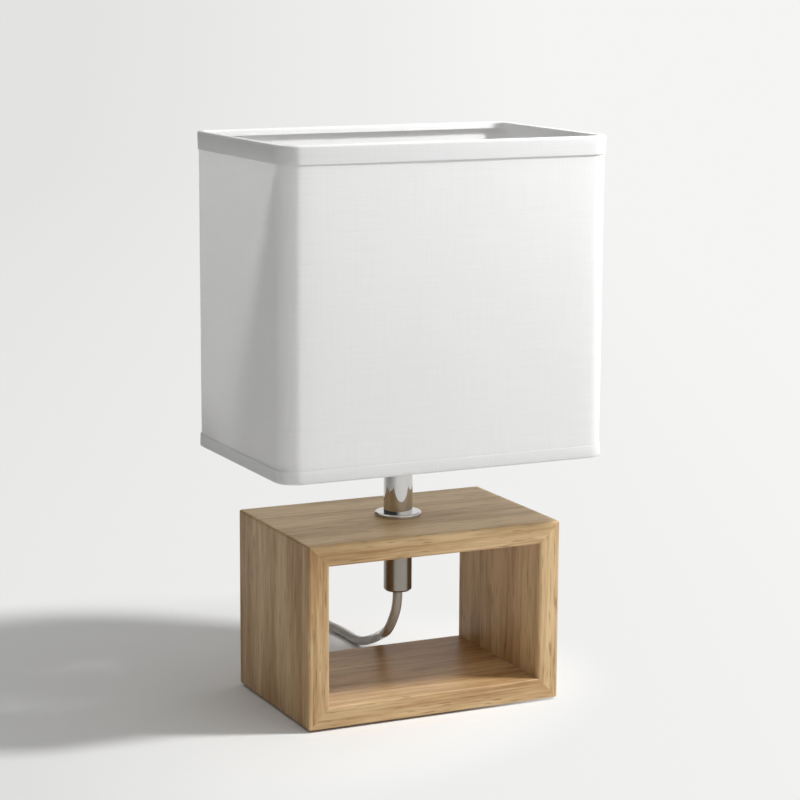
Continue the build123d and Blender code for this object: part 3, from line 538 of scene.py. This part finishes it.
def round_distance(shade, x, y):
    """Distance round the shade from the middle of its front, on one side."""
    run_x = shade.width / 2 - shade.corner
    run_y = shade.depth / 2 - shade.corner
    quarter = shade.corner * math.pi / 2
    if y <= -run_y and x <= run_x:
        return x
    if y <= -run_y:
        return run_x + shade.corner * math.atan2(x - run_x, -y - run_y)
    if y < run_y:
        return run_x + quarter + y + run_y
    if x > run_x:
        return run_x + quarter + 2 * run_y + shade.corner * math.atan2(y - run_y, x - run_x)
    return 2 * run_x + 2 * quarter + 2 * run_y - x


def inward_distance(shade, x, y):
    """How far a point lies inside the shade's plan."""
    over_x = x - shade.width / 2 + shade.corner
    over_y = abs(y) - shade.depth / 2 + shade.corner
    outside = math.hypot(max(over_x, 0), max(over_y, 0))
    return shade.corner - outside - min(max(over_x, over_y), 0)


def lay_cloth_map(piece, shade):
    """Give the cloth a UV map in metres: round the shade, and up the cloth and over the fold."""
    mesh = bmesh.from_edit_mesh(piece.data)
    layer = mesh.loops.layers.uv.verify()
    for face in mesh.faces:
        side = 1 if face.calc_center_median().x > 0 else -1
        for loop in face.loops:
            x, y, z = loop.vert.co
            u = side * round_distance(shade, abs(x), y)
            loop[layer].uv = (u, z + inward_distance(shade, abs(x), y))
    bmesh.update_edit_mesh(piece.data)


# Camera, solved from the lamp's corners in the photograph

IMAGE_PX = 800
FOCAL_PX = 2440.6
CENTRE_PX = (357.1, 399.3)
CAMERA_PLACE = Vector((-0.56919, -1.18685, 0.40431))
CAMERA_AIM = Vector((0.41014, 0.89449, -0.17795)).normalized()
CAMERA_ROLL = math.radians(0.108)
SENSOR_MM = 36.0


class LAMP_OT_camera(bpy.types.Operator):
    """Place the camera at the photograph's viewing angle"""

    bl_idname = "lamp.camera"
    bl_label = "Camera"

    def execute(self, context):
        bpy.ops.object.camera_add()
        camera = context.active_object
        camera.name = "camera"
        right = CAMERA_AIM.cross(Vector((0, 0, 1))).normalized()
        up = right.cross(CAMERA_AIM)
        level = Matrix((right, up, -CAMERA_AIM)).transposed()
        camera.matrix_world = (
            Matrix.Translation(CAMERA_PLACE) @ level.to_4x4() @ Matrix.Rotation(CAMERA_ROLL, 4, "Z")
        )
        camera.data.sensor_width = SENSOR_MM
        camera.data.lens = FOCAL_PX / IMAGE_PX * SENSOR_MM
        camera.data.shift_x = 0.5 - CENTRE_PX[0] / IMAGE_PX
        camera.data.shift_y = CENTRE_PX[1] / IMAGE_PX - 0.5
        context.scene.camera = camera
        return {"FINISHED"}


# Lead and hank, laid out in millimetres; the lengths of cord are in metres

LEAD_ROUTE = [
    (0, 0, 59.0),
    (0, 0, 50.5),
    (-0.6, 4.5, 40.5),
    (0.3, 13.0, 32.3),
    (4.5, 27.0, 26.4),
    (13.3, 48.7, 19.2),
    (18.1, 69.9, 10.4),
    (18.6, 91.4, 2.8),
    (19.2, 113.0, 2.8),
    (17.6, 125.0, 3.1),
    (14.2, 135.5, 4.5),
    (11.0, 145.0, 6.6),
    (11.0, 157.0, 6.6),
]
LEAD_LENGTH = 0.184
SWITCH_OUTLET = Vector((11.0, 197.0, 6.6))
OUTLET_RUN = Vector((0, 13.0, 0))
HANK_APPROACH = Vector((11.0, 223.0, 4.4))
HANK_LENGTH = 1.598
HANK_MIDDLE = Vector((49.5, 273.5, 0))
HANK_TURN = math.radians(16.0)
HANK_LOOPS = 5
HANK_ENTRY = -22.0
HALF_RUN = 54.0
FOLD_R = 16.5
FOLD_POINTS = 4
WAIST = 3.05
PITCH = 5.85
LIFT = 1.7
HANK_Z = 2.75
PLUG_A = -26.0
PLUG_RISE = 10.8
PLUG_BEND = 37.0
PLUG_RUN_IN = 20.0


def hank_point(a, b, z):
    """A point of the hank from its distances along and across it."""
    along = Vector((math.sin(HANK_TURN), math.cos(HANK_TURN), 0))
    across = Vector((along.y, -along.x, 0))
    return HANK_MIDDLE + along * a + across * b + Vector((0, 0, z))


def hank_fold(end, z, first_angle):
    """Points round one fold of the hank, half a turn from the first angle on."""
    step_angle = math.pi / FOLD_POINTS
    reach = FOLD_R / math.cos(step_angle / 2)
    for step in range(FOLD_POINTS):
        angle = first_angle + step_angle * (step + 0.5)
        yield hank_point(end + reach * math.cos(angle), reach * math.sin(angle), z)


def hank_route():
    """Points of the hank from the switch to the plug."""
    yield SWITCH_OUTLET
    yield SWITCH_OUTLET + OUTLET_RUN
    yield HANK_APPROACH
    for loop in range(HANK_LOOPS):
        z = HANK_Z + loop * PITCH
        if loop:
            yield from hank_fold(-HALF_RUN, z, math.pi / 2)
        yield hank_point(-HALF_RUN * 2 / 3, -FOLD_R if loop else HANK_ENTRY, z)
        yield hank_point(-HALF_RUN / 3, -WAIST, z + LIFT)
        yield hank_point(HALF_RUN / 3, -WAIST, z + LIFT)
        yield hank_point(HALF_RUN * 2 / 3, -FOLD_R, z)
        yield from hank_fold(HALF_RUN, z, -math.pi / 2)
        if loop < HANK_LOOPS - 1:
            yield hank_point(HALF_RUN * 2 / 3, FOLD_R, z + PITCH / 6)
            yield hank_point(HALF_RUN / 3, WAIST, z + PITCH / 3 + LIFT)
            yield hank_point(-HALF_RUN / 3, WAIST, z + PITCH * 2 / 3 + LIFT)
            yield hank_point(-HALF_RUN * 2 / 3, FOLD_R, z + PITCH * 5 / 6)
    yield hank_point(PLUG_BEND, FOLD_R, z)
    yield hank_point(PLUG_RUN_IN, 0, z + PLUG_RISE)
    yield hank_point(PLUG_A, 0, z + PLUG_RISE)


def flex(name, route, diameter):
    """A round cord on one smooth spline that follows a route in millimetres."""
    curve = bpy.data.curves.new(name, "CURVE")
    curve.dimensions = "3D"
    curve.bevel_depth = diameter / 2
    curve.bevel_resolution = 4
    curve.use_fill_caps = True
    curve.resolution_u = 10
    spline = curve.splines.new("NURBS")
    spline.points.add(len(route) - 1)
    for knot, place in zip(spline.points, route):
        knot.co = (*(Vector(place) * MM), 1.0)
    spline.order_u = 3
    spline.use_endpoint_u = True
    spline.use_smooth = True
    piece = bpy.data.objects.new(name, curve)
    bpy.context.scene.collection.objects.link(piece)
    return piece


class LAMP_OT_lead(bpy.types.Operator):
    """Lay the lead from the cord grip to the switch"""

    bl_idname = "lamp.lead"
    bl_label = "Lead"

    def execute(self, context):
        lead = context.scene.lamp_lead
        piece = flex("lead_flex", LEAD_ROUTE, lead.diameter)
        settle(piece, clear_flex("clear PVC lead", lead, LEAD_LENGTH), "lamp", "clear_cord", "lamp_lead")
        return {"FINISHED"}


class LAMP_OT_hank(bpy.types.Operator):
    """Lay the spare cord as a hank behind the lamp, from the switch to the plug"""

    bl_idname = "lamp.hank"
    bl_label = "Hank"

    def execute(self, context):
        lead = context.scene.lamp_lead
        piece = flex("hank_flex", list(hank_route()), lead.diameter)
        settle(piece, clear_flex("clear PVC hank", lead, HANK_LENGTH), "lamp", "clear_cord", "cord_hank")
        tie = moulded("soft polyethylene tie", "#eeeeeb", 0.55, grain=0.5 * MM, depth=0.1 * MM)
        dress(tie, "hank_tie")
        return {"FINISHED"}


# Shade

WALL_ROWS = 17
SLACK_SPAN = 0.07
HEM_STEPS = 10
# The hem's fold lies between a round (1) and a square (0) turn
HEM_SQUARENESS = 0.65


class LAMP_OT_shade_cloth(bpy.types.Operator):
    """Make the shade's cloth wall"""

    bl_idname = "lamp.shade_cloth"
    bl_label = "Shade cloth"

    def execute(self, context):
        shade = context.scene.lamp_shade
        low = shade.bottom + shade.hem_cloth
        high = shade.top - shade.hem_cloth
        piece = cloth_wall("shade_cloth", shade, [(0, low), (0, high)], WALL_ROWS)
        clouds = bpy.data.textures.new("cloth slack", "CLOUDS")
        clouds.noise_scale = SLACK_SPAN
        slack = piece.modifiers.new("slack", "DISPLACE")
        slack.texture = clouds
        slack.texture_coords = "LOCAL"
        slack.mid_level = 1.0
        slack.strength = shade.slack
        thicken(piece, "wall", shade.wall)
        settle(piece, white_cotton(shade), "shade", "cotton", "shade_cover", "shade_liner")
        return {"FINISHED"}


def hem_profile(shade, edge, sense, band):
    """Rings of a hem from its outer edge, over its wire and down inside."""
    half = shade.hem_width / 2
    middle = shade.hem_cloth - half
    yield shade.hem_edge, edge - sense * band
    for step in range(HEM_STEPS + 1):
        angle = math.pi * step / HEM_STEPS
        reach = math.copysign(abs(math.cos(angle)) ** HEM_SQUARENESS, math.cos(angle))
        crown = abs(math.sin(angle)) ** HEM_SQUARENESS
        yield middle + half * reach, edge - sense * shade.hem_round * (1 - crown)
    yield middle - half, edge - sense * shade.fold


class LAMP_OT_shade_hems(bpy.types.Operator):
    """Fold the hems over the shade's top and bottom wires"""

    bl_idname = "lamp.shade_hems"
    bl_label = "Shade hems"

    def execute(self, context):
        shade = context.scene.lamp_shade
        cloth = bpy.data.objects["shade_cloth"]
        cotton = cloth.data.materials[0]
        for name, edge, sense, band in (
            ("top_hem", shade.top, 1, shade.top_band),
            ("bottom_hem", shade.bottom, -1, shade.bottom_band),
        ):
            piece = cloth_wall(f"{name}_tape", shade, list(hem_profile(shade, edge, sense, band)))
            thicken(piece, "tape", shade.hem_edge)
            settle(piece, cotton, "shade", "cotton", name)
        return {"FINISHED"}


class LAMP_OT_shade_frame(bpy.types.Operator):
    """Finish the shade's wires and carrier"""

    bl_idname = "lamp.shade_frame"
    bl_label = "Shade frame"

    def execute(self, context):
        coat = moulded("white powder-coated wire", "#ededea", 0.4, grain=0.6 * MM, depth=0.08 * MM)
        dress(coat, "top_wire", "bottom_wire", "carrier_ring", "carrier_arms")
        return {"FINISHED"}


# Base, stem, holder and bulb

# How far lines are drawn out: not at all, or round a part that stands along Z
PLAIN = (1.0, 1.0, 1.0)
TURNED = (0.05, 0.05, 1.0)
ROLLED = (0.1, 0.1, 1.0)
PRESSED = (0.2, 0.2, 1.0)
THREADED = (0.3, 0.3, 1.0)


class LAMP_OT_boards(bpy.types.Operator):
    """Finish the four boards with grain along each, and the dowels and pads"""

    bl_idname = "lamp.boards"
    bl_label = "Boards"

    def execute(self, context):
        wood = context.scene.lamp_wood
        flat = (0, 0, 0)
        upright = (0, math.pi / 2, 0)
        slanted = (0, math.pi / 4, 0)
        # Each board's turn, where it lies in its log, and its tone; the tone is partly painted light and
        # shade: the right board and the top are drawn lighter, the left board darker
        for name, turn, heart, tone_and_painted_light in (
            ("top", flat, (0.3, 0.021, -0.06), -0.18),
            ("bottom", flat, (0.9, -0.034, 0.047), -0.05),
            ("left", upright, (1.7, 0.012, 0.035), 0.05),
            ("right", upright, (2.6, -0.027, -0.02), -0.2),
        ):
            oak = oiled_oak(f"oiled oak, {name} board", wood, turn, heart, tone_and_painted_light)
            dress(oak, f"base_{name}_board")
        dress(oiled_oak("beech dowel", wood, slanted, (3.1, 0, 0), 0.0), "mitre_dowels")
        dress(pressed_felt(), "felt_pads")
        return {"FINISHED"}


class LAMP_OT_stem(bpy.types.Operator):
    """Finish the stem, its fixings and the cord grip"""

    bl_idname = "lamp.stem"
    bl_label = "Stem"

    def execute(self, context):
        chrome = plated("polished chrome", "#cfcdca", 0.06, line=0.5 * MM, stretch=PLAIN, spread=0.02)
        nickel = plated("satin nickel", "#97928a", 0.26, line=0.6 * MM, stretch=TURNED, spread=0.03)
        zinc = plated("zinc-plated steel", "#b4b6b8", 0.36, line=0.5 * MM, stretch=THREADED, spread=0.1)
        nylon = moulded(
            "natural nylon", "#e6e2d6", 0.45, grain=0.5 * MM, depth=0.08 * MM, Subsurface_Weight=0.1
        )
        dress(chrome, "stem_flange", "stem_tube")
        dress(nickel, "cord_grip_barrel", "grip_screw")
        dress(zinc, "threaded_rod", "base_washer", "lock_nut", "rocker_pin", "case_screws")
        dress(nylon, "cord_grip_bush", "cord_clamps")
        return {"FINISHED"}


class LAMP_OT_holder(bpy.types.Operator):
    """Finish the lamp holder and its wiring"""

    bl_idname = "lamp.holder"
    bl_label = "Lamp holder"

    def execute(self, context):
        plastic = moulded("white glass-filled polyester", "#e9e9e6", 0.38, grain=0.35 * MM, depth=0.08 * MM)
        brass = plated("bright brass", "#c9a558", 0.25, line=0.4 * MM, stretch=PRESSED, spread=0.08)
        dress(plastic, "holder_dome", "holder_body", "shade_ring", "contact_block")
        dress(brass, "screw_shell", "centre_contact", "terminal_posts", "switch_contacts", "contact_bridge")
        dress(two_wires("holder wire insulation", 0.0), "holder_wires")
        lead = context.scene.lamp_lead
        dress(clear_flex("clear PVC in the stem", lead, LEAD_LENGTH), "inner_lead")
        return {"FINISHED"}


class LAMP_OT_bulb(bpy.types.Operator):
    """Finish the bulb"""

    bl_idname = "lamp.bulb"
    bl_label = "Bulb"

    def execute(self, context):
        opal = moulded(
            "opal glass",
            "#f1f0ec",
            0.22,
            grain=3.0 * MM,
            depth=0.02 * MM,
            Subsurface_Weight=0.35,
            Subsurface_Radius=(4 * MM, 4 * MM, 4 * MM),
            Coat_Weight=0.4,
            Coat_Roughness=0.08,
        )
        cap = plated("nickel-plated cap", "#cfccc6", 0.24, line=0.4 * MM, stretch=ROLLED, spread=0.08)
        vitrite = moulded("black vitrite glass", "#15140f", 0.12, grain=2.0 * MM, depth=0.02 * MM)
        dress(opal, "bulb_globe")
        dress(cap, "bulb_cap", "bulb_foot")
        dress(vitrite, "bulb_insulator")
        return {"FINISHED"}


# Switch and plug


class LAMP_OT_switch(bpy.types.Operator):
    """Finish the inline switch and the plug"""

    bl_idname = "lamp.switch"
    bl_label = "Switch and plug"

    def execute(self, context):
        clear = moulded(
            "clear grey polycarbonate",
            "#aca79d",
            0.22,
            grain=0.5 * MM,
            depth=0.08 * MM,
            Transmission_Weight=0.35,
            IOR=1.58,
        )
        soft = moulded("clear grey soft PVC", "#a09a90", 0.35, grain=0.4 * MM, depth=0.1 * MM, IOR=1.53)
        white = moulded("white rocker plastic", "#e4e4e1", 0.3, grain=0.4 * MM, depth=0.06 * MM)
        black = moulded("black sleeve plastic", "#1b1b1b", 0.45, grain=0.4 * MM, depth=0.06 * MM)
        pins = plated("nickel-plated pin", "#c9c6bf", 0.2, line=0.3 * MM, stretch=PLAIN, spread=0.06)
        dress(clear, "switch_lower_case", "switch_upper_case")
        dress(soft, "plug_body", "plug_strain_relief")
        dress(white, "switch_rocker")
        dress(black, "pin_sleeves")
        dress(pins, "plug_pins")
        dress(two_wires("switch wire insulation", SWITCH_OUTLET.x * MM), "switch_wires")
        return {"FINISHED"}


# Stage

FLOOR_SIZE = 9.0
BACK_HEIGHT = 5.0
COVE_R = 1.5
COVE_SEGMENTS = 24
EDGE_REACH = 0.01
KEY_AIM = Vector((0, 0, 0.15))
RIGHT_OF_VIEW = (0.909, -0.417, 0.0)
LIT_SIDE = (1.0, -0.19, 0.0)
FILL_SIDE = (0.68, -0.52, 0.52)
# The floor turns to plain background between these distances from the middle of the shadow
SHADOW_PLACE = (0.17, -0.07, 0.0)
SHADOW_SHAPE = (1.0, 1.4, 1.0)
PLAIN_FROM = 0.22
PLAIN_TO = 0.32
# Strength of the surroundings as clear plastic shows them
THROUGH_CLEAR = 0.8


def stage_paint(stage):
    """Matt paint that takes the lamp's shadow, and turns to the plain background away from it."""
    material, tree, shader = finish("stage paint", Roughness=1.0, Specular_IOR_Level=0.0)
    shader.inputs["Base Color"].default_value = rgba(stage.floor)
    place = add(tree, "ShaderNodeTexCoord").outputs["Object"]
    mapping = {"Vector": place, "Location": SHADOW_PLACE, "Scale": SHADOW_SHAPE}
    around = add(tree, "ShaderNodeMapping", mapping).outputs[0]
    away = add(tree, "ShaderNodeVectorMath", {0: around}, operation="LENGTH").outputs["Value"]
    far = remap(tree, away, low=PLAIN_FROM, high=PLAIN_TO, curve="SMOOTHSTEP")
    # Painted shade: the plain background is drawn darker on the side away from the main lamp
    across = remap(tree, distance_along(tree, place, RIGHT_OF_VIEW), low=-0.6, high=0.4)
    tint = blend(tree, across, rgba(stage.backdrop_far), rgba(stage.backdrop))
    rays = add(tree, "ShaderNodeLightPath").outputs
    seen = calc(tree, "MAXIMUM", rays["Is Camera Ray"], rays["Is Glossy Ray"])
    shown = calc(tree, "MAXIMUM", seen, rays["Is Transmission Ray"])
    mirrored = remap(tree, distance_along(tree, place, LIT_SIDE), low=-0.8, high=-0.25, start=0.12)
    level = remap(tree, rays["Is Glossy Ray"], start=1.0, end=mirrored)
    plain = add(tree, "ShaderNodeEmission", {"Color": tint, "Strength": level})
    mix_surface(tree, calc(tree, "MULTIPLY", shown, far), shader, plain)
    return material


class LAMP_OT_stage(bpy.types.Operator):
    """Set the floor with its swept back, the main lamp and the soft light"""

    bl_idname = "lamp.stage"
    bl_label = "Stage"

    def execute(self, context):
        stage = context.scene.lamp_stage
        self.sweep(stage)
        self.key(stage)
        self.fill(context.scene, stage)
        context.scene.view_settings.view_transform = "Standard"
        return {"FINISHED"}

    def sweep(self, stage):
        """Floor and back in one piece, with a wide cove between."""
        bpy.ops.object.select_all(action="DESELECT")
        bpy.ops.mesh.primitive_plane_add(size=FLOOR_SIZE)
        floor = bpy.context.active_object
        floor.name = "stage_floor"
        bpy.ops.object.mode_set(mode="EDIT")
        bpy.ops.mesh.select_mode(type="EDGE")
        self.pick_back_edge(floor)
        bpy.ops.mesh.extrude_edges_move(TRANSFORM_OT_translate={"value": (0, 0, BACK_HEIGHT)})
        self.pick_back_edge(floor)
        bpy.ops.mesh.bevel(offset=COVE_R, segments=COVE_SEGMENTS, affect="EDGES")
        bpy.ops.mesh.select_all(action="SELECT")
        bpy.ops.mesh.normals_make_consistent(inside=False)
        bpy.ops.object.mode_set(mode="OBJECT")
        bpy.ops.object.shade_smooth()
        floor.data.materials.append(stage_paint(stage))

    def pick_back_edge(self, floor):
        """Select the floor's rear edge alone."""
        back = FLOOR_SIZE / 2 - EDGE_REACH
        mesh = bmesh.from_edit_mesh(floor.data)
        for edge in mesh.edges:
            edge.select_set(all(v.co.y > back and v.co.z < EDGE_REACH for v in edge.verts))

    def key(self, stage):
        """One soft box to the right, a little in front and above."""
        bpy.ops.object.light_add(type="AREA", location=stage.key_place)
        lamp = bpy.context.active_object
        lamp.name = "key"
        aim = KEY_AIM - Vector(stage.key_place)
        lamp.rotation_euler = aim.to_track_quat("-Z", "Y").to_euler()
        lamp.data.shape = "DISK"
        lamp.data.size = stage.key_size
        lamp.data.energy = stage.key_power

    def fill(self, scene, stage):
        """Soft light, most of it from the right and front, with a bright right side for metal to mirror."""
        scene.world = bpy.data.worlds.new("studio")
        scene.world.use_nodes = True
        tree = scene.world.node_tree
        rays = add(tree, "ShaderNodeLightPath").outputs
        place = add(tree, "ShaderNodeTexCoord").outputs["Generated"]
        soft = remap(tree, distance_along(tree, place, FILL_SIDE), low=-0.6, start=0.05)
        lighting = calc(tree, "MULTIPLY", soft, stage.fill)
        shine = remap(tree, distance_along(tree, place, LIT_SIDE), low=-0.5, high=0.2, start=0.06)
        mirrored = calc(tree, "MAXIMUM", rays["Is Glossy Ray"], rays["Is Camera Ray"])
        outside = remap(tree, mirrored, start=lighting, end=shine)
        strength = remap(tree, rays["Is Transmission Ray"], start=outside, end=THROUGH_CLEAR)
        background = tree.nodes["Background"]
        background.inputs["Color"].default_value = rgba(stage.backdrop)
        feed(tree, background, Strength=strength)


class LAMP_PT_parts(bpy.types.Panel):
    """Lists the lamp's settings and parts"""

    bl_idname = "LAMP_PT_parts"
    bl_label = "Bedside Lamp"
    bl_space_type = "VIEW_3D"
    bl_region_type = "UI"
    bl_category = "Lamp"

    def draw(self, context):
        for settings in SETTINGS:
            group = getattr(context.scene, settings)
            for name in group.bl_rna.properties.keys():
                if name not in ("rna_type", "name"):
                    self.layout.prop(group, name)
        for operator in OPERATORS:
            self.layout.operator(operator.bl_idname)


SETTINGS = {
    "lamp_shade": ShadeSettings,
    "lamp_lead": LeadSettings,
    "lamp_wood": WoodSettings,
    "lamp_stage": StageSettings,
}
OPERATORS = [
    LAMP_OT_camera,
    LAMP_OT_lead,
    LAMP_OT_hank,
    LAMP_OT_shade_cloth,
    LAMP_OT_shade_hems,
    LAMP_OT_shade_frame,
    LAMP_OT_boards,
    LAMP_OT_stem,
    LAMP_OT_holder,
    LAMP_OT_bulb,
    LAMP_OT_switch,
    LAMP_OT_stage,
]


def register():
    for cls in (*SETTINGS.values(), *OPERATORS, LAMP_PT_parts):
        bpy.utils.register_class(cls)
    for name, cls in SETTINGS.items():
        setattr(bpy.types.Scene, name, PointerProperty(type=cls))


def unregister():
    for name in SETTINGS:
        delattr(bpy.types.Scene, name)
    for cls in (LAMP_PT_parts, *reversed(OPERATORS), *reversed(SETTINGS.values())):
        bpy.utils.unregister_class(cls)


def main():
    register()
    for operator in OPERATORS:
        getattr(bpy.ops.lamp, operator.bl_idname.split(".")[1])()


if __name__ == "__main__":
    main()
